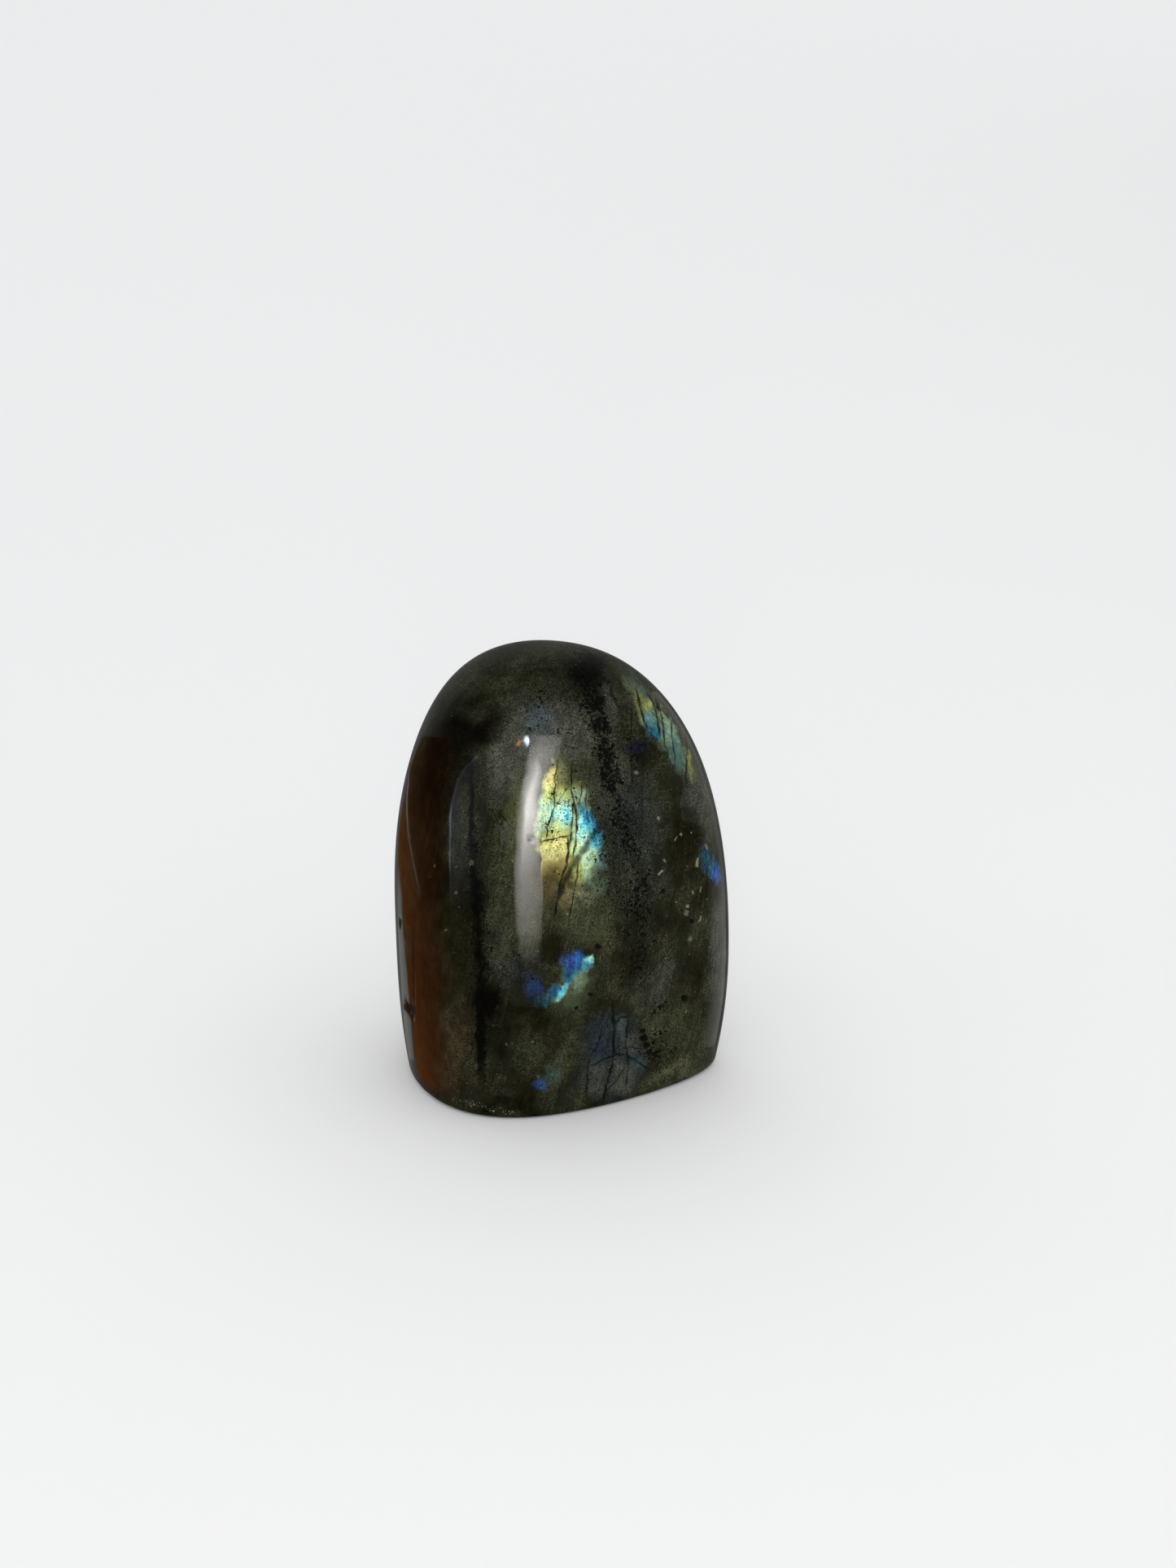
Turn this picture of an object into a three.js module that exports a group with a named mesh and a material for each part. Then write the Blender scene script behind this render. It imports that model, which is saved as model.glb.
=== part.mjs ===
// A small labradorite sculpture: one solid stone, ground and polished to a tall rounded form
// and cut flat underneath so that it stands by itself. Millimetres, +Z up, front towards -Y.
//
// Every level section is one skewed oval, blunt on the left and narrow on the right. Its size
// follows a fuller-than-round arch that would close again below, if the flat base didn't cut it.

import * as THREE from "three";

// The arch, seen from the front
const HALF_WIDTH = 14.52;
const WIDEST_HEIGHT = 13.6;
const CROWN_RISE = 25.9; // from the widest level to the top
const FOOT_DROP = 30.2; // from the widest level down to where the uncut stone would close
const FULLNESS = 2.38; // exponent of the arch: 2 is an ellipse, more is fuller

// The level section
const HALF_DEPTH = 10.0;
const SKEW_AT_BASE = 0.405; // how much deeper the left end is than the right
const SKEW_AT_TOP = 0.1;
const FRONT_BULGE = 0.08; // how much further the front swells than the back

// What the hand of the polisher left: a slight bow to the left, and shallow waves
const BOW_HEIGHT = 9.5; // the level that the bow starts from
const BOW = 0.0016; // sideways shift per square millimetre of height
const WAVES = [
  { height: 0.0055, around: 2, rise: 0.13, start: 0.6 },
  { height: 0.004, around: 3, rise: -0.21, start: 2.1 },
  { height: 0.0025, around: 5, rise: 0.3, start: 4.0 },
]; // each a share of the section's size, turning as it climbs

// The softened edge round the flat base
const EDGE_RADIUS = 0.7;
const EDGE_STEPS = 4;

// How finely the stone is faceted
const AROUND = 72;
const FOOT_RINGS = 8;
const CROWN_RINGS = 24;

const TOP_HEIGHT = WIDEST_HEIGHT + CROWN_RISE;

// The size of the section at a height, as a share of the widest one.
function archShare(height) {
  const reach = height > WIDEST_HEIGHT ? CROWN_RISE : FOOT_DROP;
  const rise = Math.min(Math.abs(height - WIDEST_HEIGHT) / reach, 1);
  return (1 - rise ** FULLNESS) ** (1 / FULLNESS);
}

// How far the rounded edge draws the wall in at a height, in millimetres.
function edgeInset(height) {
  const below = Math.max(EDGE_RADIUS - height, 0);
  return EDGE_RADIUS - Math.sqrt(EDGE_RADIUS ** 2 - below ** 2);
}

// The stone's upright profile, as shares and heights, from the middle of the base to the top.
function profile() {
  const points = [new THREE.Vector2(0, 0)];
  const add = (height) => {
    const drawnIn = 1 - edgeInset(height) / HALF_WIDTH;
    points.push(new THREE.Vector2(archShare(height) * drawnIn, height));
  };
  for (let i = 0; i < EDGE_STEPS; i++) {
    const turn = (i / EDGE_STEPS) * (Math.PI / 2);
    add(EDGE_RADIUS * (1 - Math.cos(turn)));
  }
  for (let i = 0; i < FOOT_RINGS; i++) {
    add(THREE.MathUtils.lerp(EDGE_RADIUS, WIDEST_HEIGHT, i / FOOT_RINGS));
  }
  for (let i = 0; i < CROWN_RINGS; i++) {
    const turn = (i / CROWN_RINGS) * (Math.PI / 2);
    add(WIDEST_HEIGHT + CROWN_RISE * Math.sin(turn) ** (2 / FULLNESS));
  }
  points.push(new THREE.Vector2(0, TOP_HEIGHT));
  return points;
}

// A point of the skewed oval. turn is 0 at the narrow right end and 90 degrees at the front.
function sectionPoint(share, turn, height) {
  const skew = THREE.MathUtils.lerp(SKEW_AT_BASE, SKEW_AT_TOP, height / TOP_HEIGHT);
  const swell = (1 - skew * Math.cos(turn)) * (1 + FRONT_BULGE * Math.sin(turn));
  const wave = WAVES.reduce(
    (sum, w) => sum + w.height * Math.sin(w.around * turn + w.rise * height + w.start),
    1,
  );
  const bow = -BOW * (height - BOW_HEIGHT) ** 2;
  return {
    x: HALF_WIDTH * share * wave * Math.cos(turn) + bow,
    y: -HALF_DEPTH * share * wave * Math.sin(turn) * swell,
  };
}

// Turns the profile round the upright axis, then presses each level into its skewed oval.
function stoneGeometry() {
  const geometry = new THREE.LatheGeometry(profile(), AROUND);
  geometry.rotateX(Math.PI / 2);
  const position = geometry.getAttribute("position");
  for (let i = 0; i < position.count; i++) {
    const share = Math.hypot(position.getX(i), position.getY(i));
    const turn = Math.atan2(-position.getY(i), position.getX(i));
    const { x, y } = sectionPoint(share, turn, position.getZ(i));
    position.setXY(i, x, y);
  }
  geometry.computeBoundingBox();
  const middle = geometry.boundingBox.getCenter(new THREE.Vector3());
  geometry.translate(-middle.x, -middle.y, 0);
  geometry.computeVertexNormals();
  return geometry;
}

const polishedLabradorite = new THREE.MeshStandardMaterial({
  color: 0x3c403a,
  roughness: 0.12,
  metalness: 0,
});

const stone = new THREE.Mesh(stoneGeometry(), polishedLabradorite);
stone.name = "labradorite_stone";

const sculpture = new THREE.Group();
sculpture.add(stone);

export default sculpture;
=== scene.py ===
# A polished labradorite sculpture that stands on a pale studio floor.
#
# The imported solid is replaced by a finer mesh of the same form, with its pits and its chipped edge,
# and one node material paints the stone: clouded olive body, dark inclusions, cleavage cracks and
# the blue to gold flashes. Some painted light is in its colour too: a warm reflection down the left
# side, a sheen round the window's highlight, a reflection on the right rim and glints in small pits.
# Sizes are named in millimetres. Places on the front are named by their pixel in the reference
# picture and carried to the surface along the camera's ray.

import math
from collections import namedtuple

import bpy
import numpy as np
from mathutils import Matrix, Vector
from mathutils.bvhtree import BVHTree


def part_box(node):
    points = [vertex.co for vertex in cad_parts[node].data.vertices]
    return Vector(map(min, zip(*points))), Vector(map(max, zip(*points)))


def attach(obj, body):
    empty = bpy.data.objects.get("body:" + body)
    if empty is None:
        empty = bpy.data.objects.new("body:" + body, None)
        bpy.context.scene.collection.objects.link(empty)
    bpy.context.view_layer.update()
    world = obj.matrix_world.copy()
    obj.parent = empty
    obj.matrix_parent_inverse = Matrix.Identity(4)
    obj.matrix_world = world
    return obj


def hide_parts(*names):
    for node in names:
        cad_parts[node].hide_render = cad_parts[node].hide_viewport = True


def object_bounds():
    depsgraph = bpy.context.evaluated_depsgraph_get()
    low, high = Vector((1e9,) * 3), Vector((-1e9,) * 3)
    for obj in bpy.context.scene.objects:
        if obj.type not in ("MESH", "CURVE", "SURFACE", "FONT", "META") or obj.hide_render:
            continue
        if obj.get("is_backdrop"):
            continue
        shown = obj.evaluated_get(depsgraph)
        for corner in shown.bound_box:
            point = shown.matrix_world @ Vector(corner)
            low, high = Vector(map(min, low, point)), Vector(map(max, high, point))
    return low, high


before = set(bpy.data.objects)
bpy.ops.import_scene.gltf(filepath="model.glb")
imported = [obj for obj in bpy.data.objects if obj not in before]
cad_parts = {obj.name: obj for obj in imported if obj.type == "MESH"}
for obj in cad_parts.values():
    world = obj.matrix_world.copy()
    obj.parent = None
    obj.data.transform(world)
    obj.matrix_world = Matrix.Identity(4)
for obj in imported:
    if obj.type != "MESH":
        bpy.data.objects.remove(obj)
CAD_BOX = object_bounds()

MM = 0.001
NODE = "labradorite_stone"

# The picture and the camera that took it
PICTURE_WIDTH = 1445
PICTURE_HEIGHT = 1927
MM_PER_PIXEL = 0.07
CAMERA_DISTANCE = 250.0
CAMERA_RAISE = math.radians(22.2)
CAMERA_AIM = (2.24, 0.93, 26.75)
SENSOR = 36.0
CLIP_METRES = (0.01, 20.0)

# The form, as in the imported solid
HALF_WIDTH = 14.52
WIDEST_HEIGHT = 13.6
CROWN_RISE = 25.9
FOOT_DROP = 30.2
FULLNESS = 2.38
HALF_DEPTH = 10.0
SKEW_AT_BASE = 0.405
SKEW_AT_TOP = 0.1
FRONT_BULGE = 0.08
BOW_HEIGHT = 9.5
BOW = 0.0016

# Shallow waves: each one's share of the section, count around, turn as it climbs, and start
WAVES = ((0.0055, 2, 0.13, 0.6), (0.004, 3, -0.21, 2.1), (0.0025, 5, 0.3, 4.0))
EDGE_RADIUS = 0.7
TOP_HEIGHT = WIDEST_HEIGHT + CROWN_RISE

# How finely the mesh follows it
AROUND = 512
BASE_RINGS = 6
EDGE_RINGS = 8
FOOT_RINGS = 48
CROWN_RINGS = 124


def srgb(red, green, blue):
    """The linear colour of a screen colour from 0 to 255, by the numbers of the screen standard."""
    shares = [c / 255 for c in (red, green, blue)]
    return tuple(s / 12.92 if s <= 0.04045 else ((s + 0.055) / 1.055) ** 2.4 for s in shares) + (1.0,)


# The camera

def camera_axes():
    """The camera's place in millimetres, and its forward, right and up directions."""
    back = Vector((0, -math.cos(CAMERA_RAISE), math.sin(CAMERA_RAISE)))
    right = Vector((1, 0, 0))
    return Vector(CAMERA_AIM) + back * CAMERA_DISTANCE, -back, right, back.cross(right)


def camera_ray(pixel):
    """The place and direction, in millimetres, of the camera's ray through a pixel."""
    place, forward, right, up = camera_axes()
    across = (pixel[0] - PICTURE_WIDTH / 2) * MM_PER_PIXEL / CAMERA_DISTANCE
    above = (PICTURE_HEIGHT / 2 - pixel[1]) * MM_PER_PIXEL / CAMERA_DISTANCE
    return place, (forward + right * across + up * above).normalized()


def make_camera():
    """The camera at the picture's angle, with its long side upright."""
    data = bpy.data.cameras.new("picture_camera")
    data.sensor_width = SENSOR
    data.lens = SENSOR * CAMERA_DISTANCE / (MM_PER_PIXEL * PICTURE_HEIGHT)
    data.clip_start, data.clip_end = CLIP_METRES
    camera = bpy.data.objects.new("picture_camera", data)
    bpy.context.scene.collection.objects.link(camera)
    place, forward, _, _ = camera_axes()
    camera.location = place * MM
    camera.rotation_mode = "QUATERNION"
    camera.rotation_quaternion = forward.to_track_quat("-Z", "Y")
    bpy.context.scene.camera = camera


# The stone's mesh

def arch_share(height):
    """The size of the section at each height, as a share of the widest one."""
    reach = np.where(height > WIDEST_HEIGHT, CROWN_RISE, FOOT_DROP)
    rise = np.minimum(np.abs(height - WIDEST_HEIGHT) / reach, 1)
    return (1 - rise**FULLNESS) ** (1 / FULLNESS)


def edge_inset(height):
    """How far the rounded edge draws the wall in at each height."""
    below = np.maximum(EDGE_RADIUS - height, 0)
    return EDGE_RADIUS - np.sqrt(EDGE_RADIUS**2 - below**2)


def ring_shares_and_heights():
    """Every ring of the mesh, from the flat base up to just under the crown's top point."""
    edge = EDGE_RADIUS * (1 - np.cos(np.linspace(0, math.pi / 2, EDGE_RINGS, endpoint=False)))
    foot = np.linspace(EDGE_RADIUS, WIDEST_HEIGHT, FOOT_RINGS, endpoint=False)
    turn = np.linspace(0, math.pi / 2, CROWN_RINGS, endpoint=False)
    crown = WIDEST_HEIGHT + CROWN_RISE * np.sin(turn) ** (2 / FULLNESS)
    heights = np.concatenate([edge, foot, crown])
    shares = arch_share(heights) * (1 - edge_inset(heights) / HALF_WIDTH)
    base = shares[0] * np.arange(1, BASE_RINGS) / BASE_RINGS
    return np.concatenate([base, shares]), np.concatenate([np.zeros(len(base)), heights])


def section_points(share, turn, height):
    """Points of the skewed oval. turn is 0 at the narrow right end and 90 degrees at the front."""
    skew = SKEW_AT_BASE + (SKEW_AT_TOP - SKEW_AT_BASE) * height / TOP_HEIGHT
    swell = (1 - skew * np.cos(turn)) * (1 + FRONT_BULGE * np.sin(turn))
    wave = 1 + sum(size * np.sin(n * turn + rise * height + start) for size, n, rise, start in WAVES)
    x = HALF_WIDTH * share * wave * np.cos(turn) - BOW * (height - BOW_HEIGHT) ** 2
    y = -HALF_DEPTH * share * wave * np.sin(turn) * swell
    return np.stack([x, y, height + np.zeros_like(x)], axis=-1)


def stone_points():
    """Every point of the smooth stone in millimetres: the rings, then the two poles."""
    shares, heights = ring_shares_and_heights()
    turn = np.linspace(0, 2 * math.pi, AROUND, endpoint=False)
    rings = section_points(shares[:, None], turn[None, :], heights[:, None]).reshape(-1, 3)
    poles = section_points(np.zeros(2), np.zeros(2), np.array([0, TOP_HEIGHT]))
    points = np.concatenate([rings, poles])
    low, high = (np.array(corner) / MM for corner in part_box(NODE))
    middle = (points.min(axis=0) + points.max(axis=0)) / 2
    points[:, :2] += ((low + high) / 2 - middle)[:2]
    return points


def stone_faces(ring_count):
    """Quads between neighbouring rings and a fan at each pole, all facing outwards."""
    column = np.arange(AROUND)
    beside = (column + 1) % AROUND
    faces = []
    for ring in range(ring_count - 1):
        below = ring * AROUND
        above = below + AROUND
        faces += np.stack([below + column, above + column, above + beside, below + beside], -1).tolist()
    base_pole = ring_count * AROUND
    last = (ring_count - 1) * AROUND
    faces += np.stack([np.full(AROUND, base_pole), column, beside], -1).tolist()
    faces += np.stack([last + column, np.full(AROUND, base_pole + 1), last + beside], -1).tolist()
    return faces


def make_object(name, points, faces):
    """An object in the scene, from points in metres."""
    mesh = bpy.data.meshes.new(name)
    mesh.from_pydata(points, [], faces)
    made = bpy.data.objects.new(name, mesh)
    bpy.context.scene.collection.objects.link(made)
    return made


def make_stone():
    """The polished stone as one closed mesh."""
    points = stone_points()
    ring_count = (len(points) - 2) // AROUND
    stone = make_object("polished_stone", (points * MM).tolist(), stone_faces(ring_count))
    stone.data.shade_smooth()
    return stone


# Places on the surface

def surface_of(stone):
    """A search tree over the stone's faces, in millimetres."""
    points = [v.co / MM for v in stone.data.vertices]
    return BVHTree.FromPolygons(points, [tuple(f.vertices) for f in stone.data.polygons])


def on_stone(surface, pixel):
    """The point of the stone, in millimetres, that the camera sees at a pixel."""
    place, direction = camera_ray(pixel)
    hit, _, _, _ = surface.ray_cast(place, direction)
    return hit


def mirror_ray(surface, pixel):
    """The point seen at a pixel, and the direction that the polish mirrors there."""
    place, direction = camera_ray(pixel)
    hit, normal, _, _ = surface.ray_cast(place, direction)
    return hit, direction.reflect(normal)


def picture_plane(point):
    """A point's place across and up the picture's plane, in millimetres."""
    _, _, right, up = camera_axes()
    return (point.dot(right), point.dot(up))


# Small damage, pressed in: each row is a pit's or a groove's two ends, as pixels, and its radius
# and depth in millimetres. First the left rim, then the front edge of the base, then two nicks.
DENTS = (
    ((508, 1157), (509, 1200), 0.2, 0.04),
    ((509, 1200), (509, 1236), 0.25, 0.05),
    ((492, 1132), (492, 1140), 0.35, 0.06),
    ((500, 1235), (503, 1241), 0.6, 0.18),
    ((506, 1236), (507, 1250), 0.4, 0.1),
    ((581, 1353), (592, 1356), 0.4, 0.08),
    ((597, 1359), (606, 1361), 0.5, 0.12),
    ((612, 1361), (616, 1362), 0.4, 0.08),
    ((626, 1364), (634, 1365), 0.4, 0.06),
    ((651, 1031), (656, 1032), 0.25, 0.04),
    ((735, 1163), (736, 1164), 0.35, 0.03),
)


def press(stone, surface, dents):
    """Presses pits and grooves into the stone, along its normals."""
    vertices = stone.data.vertices
    flat = np.empty(len(vertices) * 3)
    vertices.foreach_get("co", flat)
    points = flat.reshape(-1, 3) / MM
    normals = np.empty_like(flat)
    stone.data.vertex_normals.foreach_get("vector", normals)
    normals = normals.reshape(-1, 3)
    depths = np.zeros(len(points))
    for start, end, radius, depth in dents:
        first, last = (np.array(on_stone(surface, pixel)) for pixel in (start, end))
        along = last - first
        share = np.clip((points - first) @ along / (along @ along), 0, 1)
        away = np.linalg.norm(points - first - share[:, None] * along, axis=1)
        depths = np.maximum(depths, depth * np.clip(1 - (away / radius) ** 2, 0, 1) ** 2)
    points = points - normals * depths[:, None]
    vertices.foreach_set("co", (points * MM).ravel())
    stone.data.update()


# Shader nodes

# A noise: its size in millimetres or in grains, its detail and its roughness
Noise = namedtuple("Noise", "size detail rough", defaults=(3.0, 0.5))
NOISE_MIDDLE = 0.5


class Shader:
    """Adds nodes to one material or world. Each method gives the output of the node it adds."""

    def __init__(self, owner):
        owner.use_nodes = True
        self.tree = owner.node_tree
        self.tree.nodes.clear()

    def add(self, kind, inputs, output=0, **settings):
        made = self.tree.nodes.new("ShaderNode" + kind)
        for name, value in settings.items():
            setattr(made, name, value)
        for key, value in inputs.items():
            if isinstance(value, bpy.types.NodeSocket):
                self.tree.links.new(value, made.inputs[key])
            else:
                made.inputs[key].default_value = value
        return made.outputs[output]

    def end(self, kind, socket):
        self.tree.links.new(socket, self.tree.nodes.new("ShaderNode" + kind).inputs[0])

    def math(self, operation, *values):
        return self.add("Math", dict(enumerate(values)), operation=operation)

    def product(self, first, *others):
        for other in others:
            first = self.math("MULTIPLY", first, other)
        return first

    def vector(self, operation, *values, output=0):
        return self.add("VectorMath", dict(enumerate(values)), output, operation=operation)

    def mapped(self, value, low, high, to_low=0.0, to_high=1.0):
        """Eases from one number to another as the value goes from low to high."""
        inputs = {0: value, 1: low, 2: high, 3: to_low, 4: to_high}
        return self.add("MapRange", inputs, interpolation_type="SMOOTHSTEP")

    def swing(self, value, spread, reach, middle=1.0):
        """Strays up to reach from middle, where a noise strays up to spread from its own middle."""
        low, high = NOISE_MIDDLE - spread, NOISE_MIDDLE + spread
        return self.mapped(value, low, high, middle - reach, middle + reach)

    def mix(self, share, first, second):
        return self.add("Mix", {0: share, 2: first, 3: second}, data_type="FLOAT")

    def mix_colour(self, share, first, second, blend="MIX"):
        inputs = {0: share, 6: first, 7: second}
        return self.add("Mix", inputs, 2, data_type="RGBA", blend_type=blend)

    def noise(self, vector, noise, output=0):
        inputs = {"Vector": vector, "Scale": 1 / noise.size, "Detail": noise.detail, "Roughness": noise.rough}
        return self.add("TexNoise", inputs, output)

    def cells(self, vector, size, output):
        return self.add("TexVoronoi", {"Vector": vector, "Scale": 1 / size}, output)

    def grains(self, vector, lean, wide, tall):
        """Coordinates counted in grains, each wide by tall and leaning to the right."""
        inputs = {"Vector": vector, "Rotation": (0, math.radians(lean), 0), "Scale": (wide, wide, tall)}
        return self.add("Mapping", inputs, vector_type="TEXTURE")

    def hairs(self, vector, width, detail, shade):
        """The shade on the winding lines where a noise crosses its middle, 1 away from them."""
        stray = self.math("SUBTRACT", self.noise(vector, Noise(1.0, detail)), NOISE_MIDDLE)
        away = self.mapped(self.math("ABSOLUTE", stray), 0.0, width)
        return self.mapped(away, 0.0, 1.0, shade, 1.0)

    def sides(self, vector):
        """A vector's three numbers, by the names of the axes."""
        return self.add("SeparateXYZ", {0: vector}).node.outputs

    def ramp(self, value, stops):
        """The colour at a value, from stops of a place and a colour."""
        colour = self.add("ValToRGB", {0: value})
        elements = colour.node.color_ramp.elements
        elements[0].position, elements[0].color = stops[0]
        elements[1].position, elements[1].color = stops[-1]
        for place, stop_colour in stops[1:-1]:
            elements.new(place).color = stop_colour
        return colour


def material_on(thing, name):
    """The shader of a new material on a thing."""
    material = bpy.data.materials.new(name)
    thing.data.materials.append(material)
    return Shader(material)


# A patch is an oval, or a block with straight sides, on the picture's plane: at is its middle, as a
# pixel or in millimetres, size its half width and half height in millimetres, lean its tilt to the
# right in degrees, and soft the share of its size over which it fades. What share and value mean
# depends on its table. A row there is across, down or up, half width, half height and the rest.
Patch = namedtuple("Patch", "at size lean soft share value block", defaults=(1.0, 0.0, False))


def table(*rows, **common):
    """The patches of a table, with what they have in common by its name."""
    return [Patch((x, y), (wide, tall), *rest, **common) for x, y, wide, tall, *rest in rows]


# Cycles can't hold the coordinates of a hundred patches at once. So the planes of each group of
# patches are nudged by the result before them, far too little to see, and have to wait for it.
GROUP = 6
NUDGE = (1e-6, 1e-6, 1e-6)

# How much longer a line's patches are than its stretches, so that they meet
LINE_OVERLAP = 1.25


def in_turn(shader, planes, patches, latest):
    """Each patch with the planes it can be drawn on. latest() gives the result to wait for."""
    for number, patch in enumerate(patches):
        if number % GROUP == 0:
            planes = [shader.vector("MULTIPLY_ADD", latest(), NUDGE, plane) for plane in planes]
        yield planes, patch


def patch_mask(shader, plane, patch):
    """1 inside the patch and 0 outside it."""
    inputs = {
        "Vector": plane,
        "Location": (patch.at[0], 0.0, patch.at[1]),
        "Rotation": (0, math.radians(patch.lean), 0),
        "Scale": (patch.size[0], 1.0, patch.size[1]),
    }
    local = shader.add("Mapping", inputs, vector_type="TEXTURE")
    if patch.block:
        sides = shader.sides(shader.vector("ABSOLUTE", local))
        reach = shader.math("MAXIMUM", sides["X"], sides["Z"])
    else:
        reach = shader.vector("LENGTH", local, output="Value")
    return shader.mapped(reach, 1 - patch.soft, 1 + patch.soft, 1.0, 0.0)


def cover(shader, plane, patches, before):
    """1 where any of the patches lies, each as strong as its share. It waits for before."""
    whole = 0.0
    latest = before
    for (plane,), patch in in_turn(shader, [plane], patches, lambda: latest):
        mask = patch_mask(shader, plane, patch)
        if patch.share != 1.0:
            mask = shader.math("MULTIPLY", mask, patch.share)
        whole = latest = shader.math("MAXIMUM", whole, mask)
    return whole


def line(start, end, half_width, share, soft):
    """A thin patch along the line between two pixels."""
    across = (end[0] - start[0]) * MM_PER_PIXEL
    down = (end[1] - start[1]) * MM_PER_PIXEL
    middle = ((start[0] + end[0]) / 2, (start[1] + end[1]) / 2)
    lean = math.degrees(math.atan2(-across, down))
    reach = math.hypot(across, down) / 2 * LINE_OVERLAP
    return Patch(middle, (half_width, reach), lean, soft, share)


def lines(*routes, soft=0.6):
    """The patches of bent lines, each given as its half width in millimetres, strength and pixels."""
    return [
        line(a, b, half_width, share, soft)
        for half_width, share, *pixels in routes
        for a, b in zip(pixels, pixels[1:])
    ]


def located(surface, patches):
    """The patches with their pixels turned into places on the picture's plane."""
    return [patch._replace(at=picture_plane(on_stone(surface, patch.at))) for patch in patches]


# The flash colours, from the thinnest layers in the stone, blue, to the thickest, amber
FLASH_COLOURS = (
    (0.0, srgb(20, 40, 80)),
    (0.12, srgb(44, 92, 185)),
    (0.24, srgb(48, 140, 195)),
    (0.34, srgb(92, 200, 225)),
    (0.45, srgb(166, 244, 238)),
    (0.56, srgb(208, 244, 200)),
    (0.68, srgb(206, 220, 126)),
    (0.82, srgb(236, 228, 150)),
    (0.92, srgb(180, 160, 85)),
    (1.0, srgb(120, 104, 72)),
)

# The flashes, painted one over the other: share is the brightness, and value the place in the
# colours above
FRONT_FLASHES = table(
    # The main one: its faint reach, then its parts
    (704, 1036, 1.75, 3.3, -11, 0.3, 0.25, 0.62),
    (700, 962, 0.9, 1, -10, 1, 0.04, 0.74),
    (688, 958, 0.45, 1.4, 0, 1, 0.2, 0.78),
    (675, 965, 0.42, 1.35, 14, 0.7, 1, 0.8),
    (678, 949, 0.25, 0.5, 14, 1, 0.8, 0.86),
    (690, 981, 0.65, 0.65, 10, 1, 0.8, 0.66),
    (704, 980, 0.3, 0.7, 0, 1, 0.4, 0.6),
    (668, 999, 0.45, 1.7, 10, 0.8, 0.85, 0.58),
    (688, 1000, 0.8, 0.9, 0, 1, 1, 0.49),
    (697, 1003, 0.24, 0.7, 0, 1, 0.95, 0.36),
    (684, 1018, 0.75, 0.4, -3, 1, 0.95, 0.64),
    (684, 1026, 0.8, 0.24, -3, 1, 0.85, 0.74),
    (714, 979, 0.4, 0.9, -18, 1, 0.36, 0.56),
    (715, 999, 0.35, 0.5, -25, 1, 0.28, 0.34),
    (722, 1009, 0.5, 0.65, -30, 1, 0.66, 0.27),
    (735, 1048, 0.38, 1.1, -8, 1, 0.22, 0.48),
    (732, 1088, 0.85, 0.7, 0, 0.9, 0.08, 0.55),
    (730, 1028, 0.45, 0.9, -14, 1, 0.66, 0.28),
    (715, 1027, 0.6, 1, -10, 1, 1, 0.46),
    (715, 1016, 0.3, 0.4, -10, 1, 0.8, 0.38),
    (718, 1051, 0.6, 0.95, -8, 1, 0.72, 0.54),
    (717, 1066, 0.55, 0.95, 0, 1, 0.75, 0.57),
    (705, 1048, 0.35, 1.1, 3, 0.7, 0.85, 0.6),
    (681, 1068, 1.1, 2.6, 1, 0.05, 0.66, 0.8, True),
    (681, 1040, 0.95, 0.7, 0, 1, 0.85, 0.77),
    (681, 1082, 1.6, 1.5, 0, 1, 0.15, 0.95),
    (678, 1105, 1.5, 1.2, 0, 0.9, 0.05, 1),
    (676, 1094, 0.5, 0.7, 0, 1, 0.3, 1),
    (694, 1103, 0.35, 0.9, 5, 1, 0.35, 1),
    (633, 1000, 0.6, 3.2, 6, 1, 0.06, 0.7),
    # The one on the right shoulder, and those near the right edge
    (812, 893, 0.75, 4.2, -33, 0.6, 0.14, 0.54),
    (771, 842, 0.25, 0.65, -30, 1, 0.07, 0.6),
    (787, 860, 0.28, 0.7, -28, 1, 0.16, 0.78),
    (788, 880, 0.25, 0.7, -20, 1, 0.16, 0.66),
    (796, 868, 0.3, 0.5, -20, 1, 0.36, 0.76),
    (814, 882, 0.3, 0.9, -38, 1, 0.28, 0.62),
    (798, 884, 0.45, 0.4, -20, 1, 0.24, 0.42),
    (802, 898, 0.45, 0.6, -28, 1, 0.15, 0.3),
    (807, 902, 0.22, 0.4, -25, 1, 0.28, 0.27),
    (825, 903, 0.42, 1.3, -24, 1, 0.28, 0.52),
    (830, 928, 0.45, 1.1, -12, 1, 0.1, 0.46),
    (847, 939, 0.2, 1.2, -10, 0.9, 0.18, 0.76),
    (870, 1060, 0.45, 1, -14, 0.9, 0.2, 0.24),
    (880, 1074, 0.36, 0.8, -8, 0.8, 0.65, 0.14),
    # The blue ones below the main one, and the faint ones at the foot
    (704, 1216, 1.1, 1.7, 30, 1, 0.07, 0.6),
    (702, 1200, 0.5, 0.6, 30, 1, 0.3, 0.14),
    (704, 1183, 0.75, 0.7, 20, 0.8, 0.5, 0.11),
    (709, 1178, 0.3, 0.35, 0, 1, 0.65, 0.17),
    (720, 1184, 0.3, 0.4, 30, 1, 0.4, 0.3),
    (725, 1179, 0.3, 0.2, -25, 0.8, 0.6, 0.46),
    (656, 1213, 0.6, 0.75, -15, 1, 0.22, 0.12),
    (675, 1225, 0.4, 0.9, 62, 1, 0.12, 0.3),
    (681, 1217, 0.35, 0.4, 20, 1, 0.3, 0.2),
    (691, 1216, 0.25, 0.8, 26, 0.8, 0.75, 0.33),
    (711, 1205, 0.5, 0.8, 28, 1, 0.18, 0.55),
    (735, 1284, 0.9, 1.8, 15, 1, 0.02, 0.2),
    (763, 1260, 0.4, 0.7, 8, 1, 0.04, 0.42),
    (784, 1306, 0.6, 0.6, 10, 1, 0.04, 0.42),
    (665, 1332, 0.4, 0.36, 10, 1, 0.28, 0.14),
    (680, 1322, 0.6, 0.6, 10, 1, 0.04, 0.36),
    (663, 884, 0.9, 0.9, 0, 1, 0.06, 0.2),
)

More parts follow.
